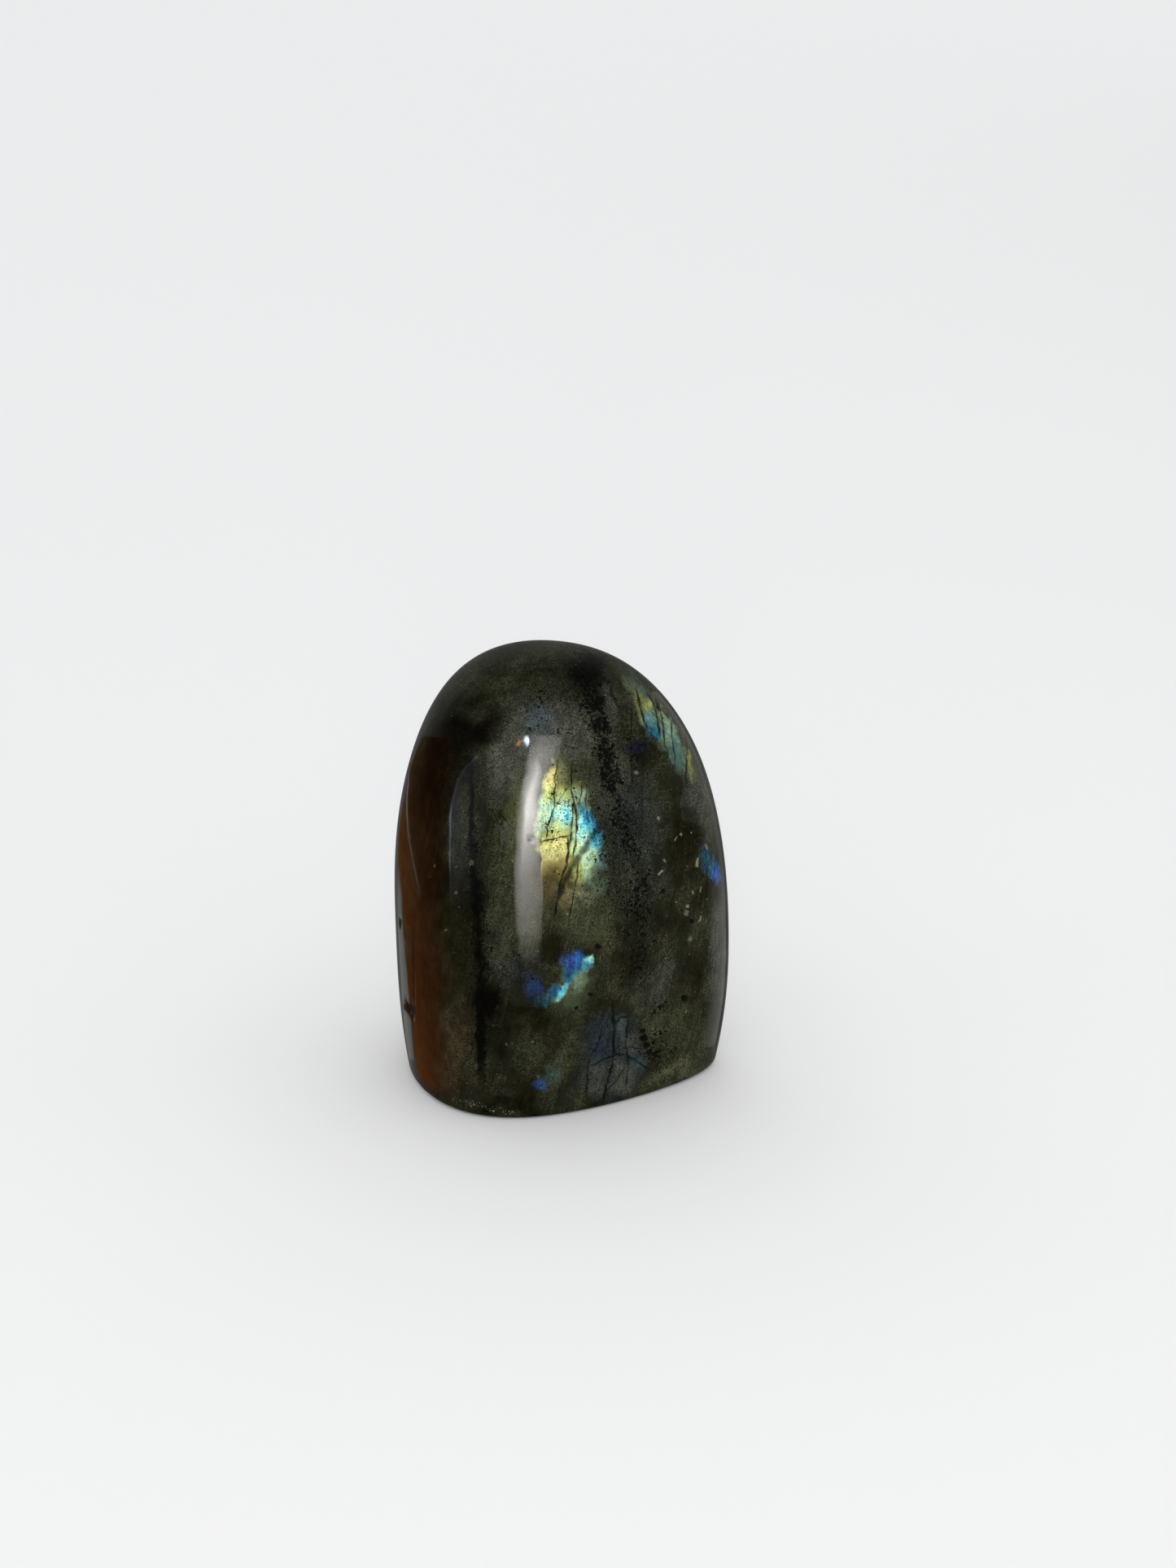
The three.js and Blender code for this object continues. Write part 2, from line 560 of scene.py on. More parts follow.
# The dark cleavage cracks: those through the main flash, the shoulder's and the foot's
CRACKS = lines(
    (0.06, 0.95, (685, 938), (682, 958), (681, 993), (673, 1014), (671, 1031)),
    (0.05, 0.55, (681, 994), (676, 1023)),
    (0.05, 0.7, (700, 966), (686, 985), (682, 992)),
    (0.07, 0.95, (703, 940), (702, 972), (705, 985), (703, 1002), (702, 1020), (699, 1040), (697, 1066)),
    (0.09, 0.95, (705, 983), (708, 1004), (708, 1028), (704, 1056)),
    (0.05, 0.9, (715, 966), (714, 980), (711, 990)),
    (0.05, 0.8, (720, 968), (720, 995), (724, 1008)),
    (0.05, 0.7, (726, 990), (729, 1010)),
    (0.06, 1, (665, 1034), (685, 1031), (698, 1027)),
    (0.09, 1, (697, 1030), (698, 1046), (696, 1062), (690, 1078), (685, 1105), (682, 1125)),
    (0.3, 0.85, (734, 1016), (724, 1034), (713, 1051), (703, 1066), (693, 1084), (686, 1102)),
    (0.06, 0.9, (710, 1055), (709, 1075), (706, 1092), (700, 1125)),
    (0.3, 0.4, (694, 1084), (708, 1089), (726, 1095)),
    (0.1, 0.95, (782, 848), (787, 870), (793, 891)),
    (0.09, 0.9, (797, 854), (805, 870), (808, 886), (811, 906)),
    (0.09, 0.9, (805, 860), (812, 876), (815, 896), (817, 914)),
    (0.06, 0.7, (800, 873), (812, 888)),
    (0.08, 0.85, (825, 886), (826, 911), (829, 934)),
    (0.08, 0.85, (843, 900), (844, 926), (843, 958)),
    (0.08, 0.6, (776, 872), (775, 915), (777, 962)),
    (0.05, 0.5, (790, 944), (789, 1010)),
    (0.06, 0.6, (838, 960), (833, 1010), (832, 1040)),
    (0.09, 1, (752, 1233), (755, 1266), (753, 1305), (747, 1327), (740, 1354)),
    (0.07, 0.85, (756, 1258), (763, 1250), (771, 1249), (769, 1282), (772, 1310), (769, 1338)),
    (0.08, 0.9, (727, 1309), (741, 1302), (756, 1296), (769, 1297), (781, 1303), (800, 1316)),
    (0.07, 0.8, (767, 1313), (758, 1326), (745, 1342)),
    (0.07, 0.85, (740, 1262), (736, 1280), (724, 1300), (722, 1316), (721, 1350)),
    (0.06, 0.75, (760, 1290), (774, 1286), (789, 1289)),
    (0.06, 0.6, (781, 1220), (806, 1186), (824, 1165)),
    (0.04, 0.5, (850, 1214), (872, 1178), (893, 1146)),
    (0.05, 0.5, (866, 1035), (869, 1090), (862, 1135)),
    (0.06, 0.8, (609, 995), (624, 1010)),
    (0.04, 0.5, (624, 1010), (636, 1024), (626, 1052), (612, 1048), (616, 1012)),
    (0.05, 0.6, (689, 1150), (686, 1182)),
    (0.08, 1, (508, 1157), (509, 1200), (509, 1236)),
    (0.05, 0.6, (539, 985), (541, 1010)),
)

# The colours of the body, and its tones, painted one over the other: value is a colour's number.
# Some tones carry painted light over the stone's own colour, as said at their rows.
BODY_COLOURS = (
    srgb(5, 4, 2),
    srgb(20, 19, 7),
    srgb(35, 36, 24),
    srgb(56, 58, 41),
    srgb(66, 68, 61),
    srgb(32, 18, 7),
    srgb(38, 45, 48),
    srgb(13, 16, 32),
    srgb(52, 44, 30),
    srgb(94, 96, 72),
    srgb(18, 7, 2),
)
BLACK, DARK, OLIVE, MOSS, GREY, BROWN, SLATE, NIGHT, TAN, PALE, RED_BROWN = range(len(BODY_COLOURS))
TONES = table(
    # Near the top, the grey tones are partly grey cloud in the stone and partly a painted sheen of the
    # window's light round its highlight
    (668, 908, 3, 3.4, 15, 0.8, 0.85, GREY),
    (664, 850, 3.4, 1.1, 0, 0.9, 0.75, OLIVE),
    (620, 944, 1.2, 2.4, 12, 0.9, 0.8, GREY),
    (747, 856, 0.7, 1.5, -12, 0.9, 0.8, GREY),
    (776, 862, 0.6, 1.4, -20, 0.9, 0.25, GREY),
    (722, 824, 2.1, 2, -10, 0.9, 0.85, BLACK),
    (744, 925, 1.6, 3.6, -14, 0.9, 0.3, GREY),
    (715, 952, 1, 1.2, -10, 0.9, 0.75, OLIVE),
    (768, 892, 0.9, 1.5, -14, 0.9, 0.6, DARK),
    (755, 854, 0.25, 1.6, -12, 0.8, 0.7, DARK),
    (560, 902, 2.5, 2.7, 22, 0.7, 0.95, BLACK),
    (592, 896, 1.5, 1.4, 22, 0.8, 0.85, BLACK),
    # Down the left side, partly the stone's own dark red-brown and partly a painted warm reflection
    (527, 960, 1.8, 4.4, 8, 0.7, 0.9, RED_BROWN),
    (532, 1075, 1.6, 6.8, 3, 0.7, 0.85, RED_BROWN),
    (798, 926, 1.2, 1, -20, 0.9, 0.7, DARK),
    (785, 918, 0.8, 0.75, -10, 0.8, 0.85, NIGHT),
    (775, 1030, 2.2, 5.6, -10, 0.8, 0.3, SLATE),
    (800, 1000, 1.6, 2.6, -10, 0.9, 0.25, SLATE),
    (834, 1040, 1.6, 5.4, -4, 0.9, 0.55, DARK),
    (860, 990, 0.9, 2.6, -14, 0.8, 0.8, GREY),
    # Along the right rim, partly the stone's grey and partly a painted reflection of light along the rim
    (882, 1168, 0.9, 4.2, 3, 0.7, 0.7, GREY),
    (712, 1112, 1.9, 1.7, 0, 0.8, 0.9, MOSS),
    (711, 1105, 1, 0.8, 0, 0.9, 0.85, PALE),
    (727, 1146, 2, 1.6, 0, 0.8, 0.8, MOSS),
    (744, 1178, 1.4, 1.6, 0, 0.9, 0.4, MOSS),
    (622, 1042, 1.2, 1.7, 0, 0.8, 0.7, MOSS),
    (626, 1030, 0.7, 1.3, -10, 0.3, 0.4, SLATE, True),
    (622, 1110, 1.2, 2.4, 0, 0.9, 0.7, MOSS),
    (612, 1174, 1, 2.2, 0, 0.9, 0.3, GREY),
    (676, 1166, 0.95, 1.3, 8, 0.3, 0.8, DARK, True),
    (640, 1196, 1.5, 1.4, 0, 0.9, 0.3, SLATE),
    (585, 1130, 1.5, 5.4, 0, 0.9, 0.85, BLACK),
    (562, 1168, 1.7, 4, 0, 0.7, 0.9, DARK),
    (602, 1232, 1.4, 2.2, 0, 0.8, 0.8, BLACK),
    (614, 1280, 1.6, 2.4, 10, 0.9, 0.7, BLACK),
    (682, 1290, 0.9, 1.3, 25, 0.9, 0.7, DARK),
    # Lower on the left, partly the stone's tan and brown and partly the same painted warm reflection
    (560, 1290, 1.3, 3.4, 8, 0.9, 0.8, TAN),
    (522, 1240, 1.7, 9, 0, 0.6, 0.9, BROWN),
    (508, 1060, 1.4, 6, 0, 0.7, 0.8, BROWN),
    (652, 1290, 1, 1.6, 20, 0.9, 0.3, MOSS),
    (640, 1326, 1.4, 1.2, 0, 0.9, 0.6, DARK),
    (683, 1318, 0.9, 1.7, 25, 0.9, 0.5, MOSS),
    (754, 1300, 2.7, 3.6, 4, 0.5, 0.65, SLATE),
    (763, 1262, 0.45, 0.8, 10, 0.3, 0.25, GREY, True),
    (741, 1287, 0.8, 1.4, 14, 0.4, 0.15, NIGHT, True),
    (776, 1284, 0.8, 0.9, -10, 0.4, 0.6, GREY, True),
    (734, 1325, 0.7, 1.5, 4, 0.4, 0.45, GREY, True),
    (765, 1325, 1, 1.3, 12, 0.4, 0.9, GREY, True),
    (772, 1186, 1.2, 1.6, 30, 0.8, 0.7, DARK),
    (832, 1262, 2.4, 3.6, 6, 0.7, 0.6, MOSS),
    (830, 1318, 1.9, 0.8, -25, 0.9, 0.6, PALE),
    (806, 1214, 1.2, 2.5, 32, 0.4, 0.35, GREY),
    (862, 1285, 1.2, 1.9, 0, 0.8, 0.8, MOSS),
    (797, 1300, 0.7, 1.5, -10, 0.9, 0.3, RED_BROWN),
    # Partly the stone's tan and partly the painted warm reflection at the left of the foot
    (560, 1336, 2, 1, -10, 0.9, 0.6, TAN),
    (600, 1352, 3.4, 0.8, 6, 0.9, 0.45, BLACK),
)

# Where black specks crowd: the band that runs down from the crown, and the ground around it
SPECKLED = (
    *lines((1.6, 1, (719, 804), (724, 846))),
    *lines(
        (1.2, 1, (722, 842), (732, 880)),
        (0.95, 1, (733, 880), (742, 905), (747, 945), (754, 975)),
        soft=0.7,
    ),
    *lines(
        (0.7, 0.85, (582, 1040), (588, 1140), (593, 1215), (591, 1310)),
        (0.9, 0.7, (757, 985), (770, 1025), (785, 1075)),
        (1.1, 0.7, (785, 1075), (784, 1140), (779, 1205)),
        soft=0.8,
    ),
    *table(
        (729, 1028, 0.6, 2.4, -12, 0.8, 0.45),
        (752, 1050, 1.4, 4, -8, 0.8, 0.5),
        (765, 930, 2.2, 3.4, -20, 0.8, 0.4),
        (812, 1236, 1.2, 1, 20, 0.8, 0.5),
        (810, 1290, 2.4, 1.6, 20, 0.8, 0.5),
        (690, 1000, 1.6, 2.6, 0, 0.8, 0.4),
        (680, 870, 2.4, 3, 0, 0.8, 0.3),
    ),
)

# The dark seam on the left
SEAM = (
    *lines((0.22, 0.9, (579, 955), (580, 1060), (588, 1140), (592, 1215)), soft=0.7),
    *lines((0.8, 1, (602, 1215), (602, 1248)), (0.4, 1, (592, 1190), (590, 1310)), soft=0.4),
)

# The smooth brown side, where a warm reflection is painted and nothing is speckled
CALM = table((516, 1150, 2.6, 16, 0, 0.5))

# Single dark spots
SPOTS = table(
    (790, 1267, 0.24, 0.22, 0, 0.3),
    (791, 1276, 0.34, 0.3, 0, 0.3),
    (795, 1284, 0.26, 0.3, 0, 0.3),
    (798, 1293, 0.2, 0.25, 0, 0.3),
    (841, 1227, 0.34, 0.32, 0, 0.3),
    (725, 1222, 0.22, 0.2, 20, 0.3),
    (708, 1238, 0.1, 0.2, 30, 0.4),
    (735, 1163, 0.3, 0.24, 20, 0.4),
    (811, 1238, 0.1, 0.26, 10, 0.4),
    (805, 1232, 0.09, 0.09, 0, 0.4),
    (818, 1231, 0.13, 0.09, 30, 0.4),
    (801, 1246, 0.09, 0.08, 0, 0.4),
    (792, 1082, 0.15, 0.4, 20, 0.4),
    (814, 1095, 0.25, 0.15, -40, 0.4),
    (797, 1119, 0.35, 0.12, 70, 0.4),
    (851, 1132, 0.22, 0.18, 20, 0.4),
    (590, 1298, 0.3, 0.35, 0, 0.5),
)

# The broken, unpolished places on the left rim
CHIPS = table(
    (492, 1135, 0.15, 0.4, 0, 0.5),
    (502, 1239, 0.55, 0.4, 0, 0.4),
    (508, 1243, 0.14, 0.55, 0, 0.4),
)

# Where pale flecks are common, and the larger single ones, of which the blocks on the right are partly pale
# flecks and partly painted glints of light in small pits
FLECKED = table(
    (845, 1085, 2.4, 6, 8, 0.8),
    (600, 1080, 4.4, 10, 0, 0.8, 0.6),
    (742, 900, 1.5, 8, -12, 0.8, 0.7),
)
PALE_FLECKS_AND_GLINTS = (
    *table(
        # Partly pale flecks and partly painted glints of light in small pits on the right
        (809, 1006, 0.11, 0.13, 20, 0.3, 0.72),
        (831, 1030, 0.06, 0.21, 28, 0.3, 0.72),
        (837, 1025, 0.16, 0.12, 50, 0.4, 0.72),
        (868, 1041, 0.1, 0.21, -20, 0.4, 0.63),
        (857, 1060, 0.12, 0.35, 10, 0.2, 0.9),
        (816, 1058, 0.1, 0.13, -20, 0.4, 0.63),
        (812, 1073, 0.09, 0.27, 48, 0.2, 0.9),
        (851, 1096, 0.07, 0.18, -20, 0.4, 0.63),
        (861, 1093, 0.06, 0.24, 0, 0.4, 0.54),
        (845, 1114, 0.14, 0.1, 0, 0.4, 0.81),
        (844, 1122, 0.16, 0.24, 10, 0.4, 0.45),
        (860, 1129, 0.08, 0.22, 10, 0.4, 0.63),
        (843, 1243, 0.04, 0.19, 25, 0.3, 0.9),
        block=True,
    ),
    *table(
        (849, 1023, 0.08, 0.08, 0, 0.4, 0.63),
        (831, 1109, 0.06, 0.06, 0, 0.4, 0.9),
        (848, 1154, 0.16, 0.22, 20, 0.5, 0.45),
        (782, 949, 0.16, 0.14, 0, 0.6, 0.54),
        (579, 1060, 0.21, 0.21, 0, 0.3, 0.22),
        (533, 1064, 0.06, 0.11, 0, 0.4, 0.33),
        (560, 1065, 0.05, 0.14, 45, 0.4, 0.33),
        (560, 1097, 0.14, 0.13, 0, 0.4, 0.28),
        (548, 1143, 0.12, 0.1, 0, 0.5, 0.33),
        (629, 1058, 0.08, 0.08, 0, 0.4, 0.55),
        (655, 1280, 0.1, 0.1, 0, 0.5, 0.33),
        (661, 1323, 0.12, 0.12, 0, 0.5, 0.28),
        (622, 1283, 0.06, 0.08, 0, 0.4, 0.55),
        (697, 1123, 0.1, 0.11, 30, 0.4, 0.5),
    ),
)

# Where the front edge of the base is scuffed
SCUFFS = (
    *lines((0.2, 0.6, (566, 1354), (600, 1361), (634, 1367)), soft=0.8),
    *table(
        (606, 1363, 0.5, 0.2, 8, 0.6),
        (533, 1345, 0.5, 0.03, -38, 0.5, 0.7),
    ),
)

# The back, which the picture doesn't show. Its places are in millimetres across and up the stone.
BACK_FLASHES = table(
    (3.5, 22, 1.5, 4.4, 16, 0.6, 0.13, 0.62),
    (5, 25.6, 0.5, 1.7, 20, 0.8, 0.75, 0.8),
    (4.2, 23.4, 0.5, 1.3, 8, 1, 0.65, 0.66),
    (3.3, 22.2, 0.7, 1.5, 14, 0.8, 0.9, 0.48),
    (2.4, 20.6, 0.5, 1.2, 10, 1, 0.8, 0.34),
    (1.9, 18.9, 0.6, 1.2, 12, 0.8, 0.75, 0.24),
    (3.9, 19.6, 0.5, 1.3, 6, 1, 0.35, 0.58),
    (-5.2, 11, 0.7, 1.6, -18, 0.9, 0.45, 0.14),
    (-4.3, 12.8, 0.5, 0.9, -18, 1, 0.5, 0.36),
    (-6.4, 9.2, 0.5, 0.9, 30, 1, 0.3, 0.2),
    (-9, 19.5, 0.5, 1.2, -10, 1, 0.35, 0.1),
)
BACK_TONES = table(
    (-1, 31, 5, 4.5, 0, 0.7, 0.6, GREY),
    (-6.5, 17, 2.4, 7, -12, 0.7, 0.8, DARK),
    (6.5, 10, 3.4, 6, 10, 0.7, 0.6, MOSS),
    (1, 6, 3.2, 3, 20, 0.7, 0.6, SLATE),
    (-11, 8, 2, 7, 0, 0.6, 0.6, BROWN),
    (9.5, 24, 2, 6, 15, 0.7, 0.7, BLACK),
)

# How far the planes for patches are bent by a small or a large swirl, across and up, in millimetres
SMALL_SWIRL = Noise(0.8)
LARGE_SWIRL = Noise(2.6)
SLIGHT_BEND = (0.4, 0.0, 0.4)
FEATHERED_BEND = (1.1, 0.0, 1.7)
RAGGED_BEND = (3.0, 0.0, 4.5)

# Where the stone faces a side by less than this, the side's patches fade
FACING_FADE = 0.25
BACKWARDS = (0, 1, 0)

# A side of the stone: its plane bent slightly, feathered and ragged, and 1 where the stone faces it
Side = namedtuple("Side", "bent feathered ragged facing")

# A point in millimetres, the large swirl there, the two sides, and the surface that pixels fall on
Coordinates = namedtuple("Coordinates", "mm swirl front back surface")


def swirl(shader, mm, noise):
    """A direction that wanders from place to place."""
    return shader.vector("SUBTRACT", shader.noise(mm, noise, "Color"), (NOISE_MIDDLE,) * 3)


def one_side(shader, mm, fine, broad, tip, towards):
    """One side of the stone laid flat, once it is tipped upright."""
    turned = shader.add("Mapping", {"Vector": mm, "Rotation": (tip, 0, 0)}, vector_type="POINT")
    flat = shader.vector("MULTIPLY", turned, (1, 0, 1))
    bent = shader.vector("MULTIPLY_ADD", fine, SLIGHT_BEND, flat)
    feathered = shader.vector("MULTIPLY_ADD", fine, FEATHERED_BEND, flat)
    ragged = shader.vector("MULTIPLY_ADD", broad, RAGGED_BEND, flat)
    normal = shader.add("TexCoord", {}, "Normal")
    facing = shader.vector("DOT_PRODUCT", normal, tuple(towards), output="Value")
    return Side(bent, feathered, ragged, shader.mapped(facing, 0.0, FACING_FADE))


def coordinates(shader, surface):
    """Where a point is: in the stone, and on its two flattened sides."""
    places = shader.add("TexCoord", {}, "Object")
    mm = shader.add("VectorMath", {0: places, "Scale": 1 / MM}, operation="SCALE")
    fine = swirl(shader, mm, SMALL_SWIRL)
    broad = swirl(shader, mm, LARGE_SWIRL)
    _, forward, _, _ = camera_axes()
    front = one_side(shader, mm, fine, broad, CAMERA_RAISE, -forward)
    back = one_side(shader, mm, fine, broad, 0.0, BACKWARDS)
    return Coordinates(mm, broad, front, back, surface)


def on_front(shader, at, plane, patches, before):
    """1 where any of the patches lies on the front, each as strong as its share."""
    found = cover(shader, plane, located(at.surface, patches), before)
    return shader.product(found, at.front.facing)


def toned(shader, side, colour, tones):
    """The colour with one side's tones over it."""
    for (ragged, bent), tone in in_turn(shader, [side.ragged, side.bent], tones, lambda: colour):
        mask = patch_mask(shader, bent if tone.block else ragged, tone)
        mask = shader.product(mask, side.facing, tone.share)
        colour = shader.mix_colour(mask, colour, BODY_COLOURS[tone.value])
    return colour


# The body's clouds and shading. Grains are given by their lean in degrees, width and length, and a
# swing by how far the noise strays from its middle and how much that darkens or lightens.
CLOUDS = Noise(4.5, 4.0)
CLOUD_COLOURS = ((0.3, BODY_COLOURS[DARK]), (0.5, BODY_COLOURS[OLIVE]), (0.78, BODY_COLOURS[MOSS]))
GRAIN_NOISE = Noise(1.0)
STREAK_GRAINS = (14, 0.3, 3.0)
STREAK_SWING = (0.14, 0.15)
MOTTLE = Noise(1.1, 4.0, 0.6)
MOTTLE_SWING = (0.16, 0.26)
DUST = Noise(0.14, 2.0, 0.7)
DUST_SWING = (0.16, 0.5)
PANEL_GRAINS = (24, 2.2, 5.0)
PANEL_BEND = (2, 2, 2)
PANEL_SWING = (0.5, 0.12)


def body_colour(shader, at, grainy):
    """The dark clouded olive of the body, with its lighter and browner regions, partly painted reflection and
    sheen, and fine streaks.
    """
    colour = shader.ramp(shader.noise(at.mm, CLOUDS), CLOUD_COLOURS)
    colour = toned(shader, at.back, colour, BACK_TONES)
    colour = toned(shader, at.front, colour, located(at.surface, TONES))
    streaks = shader.noise(shader.grains(at.mm, *STREAK_GRAINS), GRAIN_NOISE)
    bent = shader.vector("MULTIPLY_ADD", at.swirl, PANEL_BEND, at.mm)
    panels = shader.cells(shader.grains(bent, *PANEL_GRAINS), 1.0, "Color")
    streak_shade = shader.swing(streaks, *STREAK_SWING)
    mottle_shade = shader.swing(shader.noise(at.mm, MOTTLE), *MOTTLE_SWING)
    dust_shade = shader.mix(grainy, 1.0, shader.swing(shader.noise(at.mm, DUST), *DUST_SWING))
    panel_shade = shader.swing(panels, *PANEL_SWING)
    shade = shader.product(streak_shade, mottle_shade, dust_shade, panel_shade)
    return shader.mix_colour(1.0, colour, shade, "MULTIPLY")


def painted(shader, side, flashes, before):
    """The flashes of one side, painted one over the other: their place in the colours, and glow."""
    order, weight, glow = 0.0, 0.0, 0.0
    latest = before
    for (feathered, bent), flash in in_turn(shader, [side.feathered, side.bent], flashes, lambda: latest):
        mask = patch_mask(shader, bent if flash.block else feathered, flash)
        order = shader.mix(mask, order, flash.value)
        weight = shader.mix(mask, weight, 1.0)
        glow = latest = shader.mix(mask, glow, flash.share)
    return shader.math("DIVIDE", order, weight), shader.product(glow, side.facing)


# What breaks the flashes up: layers and grit, which shift their colour and shade them, and hairs,
# given by their grains, and by the width, detail and shade of the lines in them
LAYER_GRAINS = (4, 0.25, 4.0)
LAYER_SHIFT = (0.15, 0.025)
LAYER_SWING = (0.15, 0.15)
GRIT = Noise(0.35, 4.0, 0.7)
GRIT_SHIFT = (0.15, 0.03)
GRIT_SHADE = (0.36, 0.62, 0.8, 1.15)
HAIRS = (((6, 0.9, 7.0), 0.02, 2.0, 0.55), ((2, 0.45, 3.5), 0.03, 3.0, 0.75))


def with_flashes(shader, at, colour):
    """The stone with its blue to gold flashes, broken by hairs, grit and upright layers."""
    order, glow = painted(shader, at.front, located(at.surface, FRONT_FLASHES), colour)
    back_order, back_glow = painted(shader, at.back, BACK_FLASHES, glow)
    order = shader.mix(at.front.facing, back_order, order)
    glow = shader.math("MAXIMUM", glow, back_glow)
    layers = shader.noise(shader.grains(at.mm, *LAYER_GRAINS), GRAIN_NOISE)
    grit = shader.noise(at.mm, GRIT)
    order = shader.math("ADD", order, shader.swing(layers, *LAYER_SHIFT, middle=0.0))
    order = shader.math("ADD", order, shader.swing(grit, *GRIT_SHIFT, middle=0.0))
    for grains, *hairs in HAIRS:
        glow = shader.product(glow, shader.hairs(shader.grains(at.mm, *grains), *hairs))
    glow = shader.product(glow, shader.swing(layers, *LAYER_SWING), shader.mapped(grit, *GRIT_SHADE))
    return shader.mix_colour(shader.math("MINIMUM", glow, 1.0), colour, shader.ramp(order, FLASH_COLOURS))


# Black specks, coarse and fine, lie where a noise passes a level. The levels are for open ground
# and for where specks crowd, and edge is the stretch over which a speck fades.
Specks = namedtuple("Specks", "noise levels edge strength")
SPECKS = (
    Specks(Noise(0.3, 3.0, 0.6), (0.69, 0.465), (-0.005, 0.02), 0.95),
    Specks(Noise(0.13, 2.0), (0.64, 0.5), (-0.01, 0.03), 0.76),
)
CLUMPS = Noise(1.1, 2.0)
CLUMP_SWING = (0.2, 0.06)
SPECK_COLOUR = srgb(6, 6, 5)
BAND_EDGE = (0.6, 1.0)
BAND_STRENGTH = 0.42
SEAM_STRENGTH = 0.9


def with_specks(shader, at, colour, grainy):
    """The stone with its dark band and seam, and the black specks that crowd there."""
    crowded = on_front(shader, at, at.front.feathered, SPECKLED, colour)
    in_seam = on_front(shader, at, at.front.feathered, SEAM, crowded)
    in_band = shader.product(shader.mapped(crowded, *BAND_EDGE), BAND_STRENGTH)
    colour = shader.mix_colour(in_band, colour, BODY_COLOURS[BLACK])
    colour = shader.mix_colour(shader.product(in_seam, SEAM_STRENGTH), colour, BODY_COLOURS[BLACK])
    closeness = shader.swing(shader.noise(at.mm, CLUMPS), *CLUMP_SWING, middle=0.0)
    found = 0.0
    for specks in SPECKS:
        level = shader.math("SUBTRACT", shader.mix(crowded, *specks.levels), closeness)
        above = shader.math("SUBTRACT", shader.noise(at.mm, specks.noise), level)
        speck = shader.product(shader.mapped(above, *specks.edge), specks.strength)
        found = shader.math("MAXIMUM", found, speck)
    return shader.mix_colour(shader.product(found, grainy), colour, SPECK_COLOUR)


# Pale dots of two sizes: their cells in millimetres, their size in cells, and what a cell's chance
# has to pass for a dot, on open ground and where flecks are common
Dots = namedtuple("Dots", "cell size chances")
SMALL_DOTS = Dots(0.5, 0.18, (0.85, 0.55))
FINEST_DOTS = Dots(0.32, 0.26, (0.58, 0.5))
DOT_EDGE = (-0.03, 0.06)
FINEST_GAIN = 2.1
FINEST_GLOW = 0.013
SMALL_STRENGTH = 0.4
SMALL_COLOUR = srgb(165, 162, 140)
# The larger flecks, some of them painted glints in small pits
LARGE_STRENGTH = 0.5
LARGE_COLOUR = srgb(158, 156, 128)


def dotted(shader, at, often, dots):
    """1 in the small dots, one to a cell, of those cells whose own chance is high enough."""
    away = shader.cells(at.mm, dots.cell, "Distance")
    chance = shader.cells(at.mm, dots.cell, "Color")
    reach = shader.product(shader.mapped(chance, shader.mix(often, *dots.chances), 1.0), dots.size)
    return shader.mapped(shader.math("SUBTRACT", reach, away), *DOT_EDGE)


def with_flecks(shader, at, colour, grainy):
    """The stone with its pale flecks: the finest, the small ones and the single larger ones, some of which
    are painted glints in small pits.
    """
    often = on_front(shader, at, at.front.ragged, FLECKED, colour)
    small = dotted(shader, at, often, SMALL_DOTS)
    finest = shader.product(dotted(shader, at, often, FINEST_DOTS), grainy)
    colour = shader.mix_colour(1.0, colour, shader.mix(finest, 1.0, FINEST_GAIN), "MULTIPLY")
    colour = shader.mix_colour(1.0, colour, shader.product(finest, FINEST_GLOW), "ADD")
    colour = shader.mix_colour(shader.product(small, SMALL_STRENGTH), colour, SMALL_COLOUR)
    large = on_front(shader, at, at.front.bent, PALE_FLECKS_AND_GLINTS, colour)
    return shader.mix_colour(shader.product(large, LARGE_STRENGTH), colour, LARGE_COLOUR)


# How the cracks, the scuffs and the chips show
CRACK_STRENGTH = 0.95
CRACK_COLOUR = srgb(10, 8, 5)
SCRATCHES = Noise(0.12, 2.0)
SCRATCH_EDGE = (0.54, 0.6)
SCUFF_STRENGTH = 0.6
SCUFF_COLOUR = srgb(150, 138, 118)
CHIP_STRENGTH = 0.9


def with_cracks(shader, at, colour):
    """The stone with its dark cracks and single spots."""
    dark = on_front(shader, at, at.front.bent, [*CRACKS, *SPOTS], colour)
    return shader.mix_colour(shader.product(dark, CRACK_STRENGTH), colour, CRACK_COLOUR)


def with_damage(shader, at, colour):
    """The stone with its scuffs and chips, and 1 where they break the polish."""
    scuffed = on_front(shader, at, at.front.feathered, SCUFFS, colour)
    scratches = shader.mapped(shader.noise(at.mm, SCRATCHES), *SCRATCH_EDGE)
    scuffed = shader.product(scuffed, scratches)
    colour = shader.mix_colour(shader.product(scuffed, SCUFF_STRENGTH), colour, SCUFF_COLOUR)
    chipped = on_front(shader, at, at.front.bent, CHIPS, colour)
    colour = shader.mix_colour(shader.product(chipped, CHIP_STRENGTH), colour, BODY_COLOURS[RED_BROWN])
    return colour, shader.math("MAXIMUM", scuffed, chipped)


# The polish: its refraction, its roughness from clean to smeared and where it is broken, and its
# slow waves, whose depth is in millimetres
REFRACTION = 1.56
SMEARS = Noise(1.6, 4.0, 0.6)
SMEAR_ROUGHNESS = (0.35, 0.7, 0.03, 0.09)
BROKEN_ROUGHNESS = 0.6
POLISH_WAVES = Noise(3.0, 2.0)
WAVE_DEPTH = 0.015


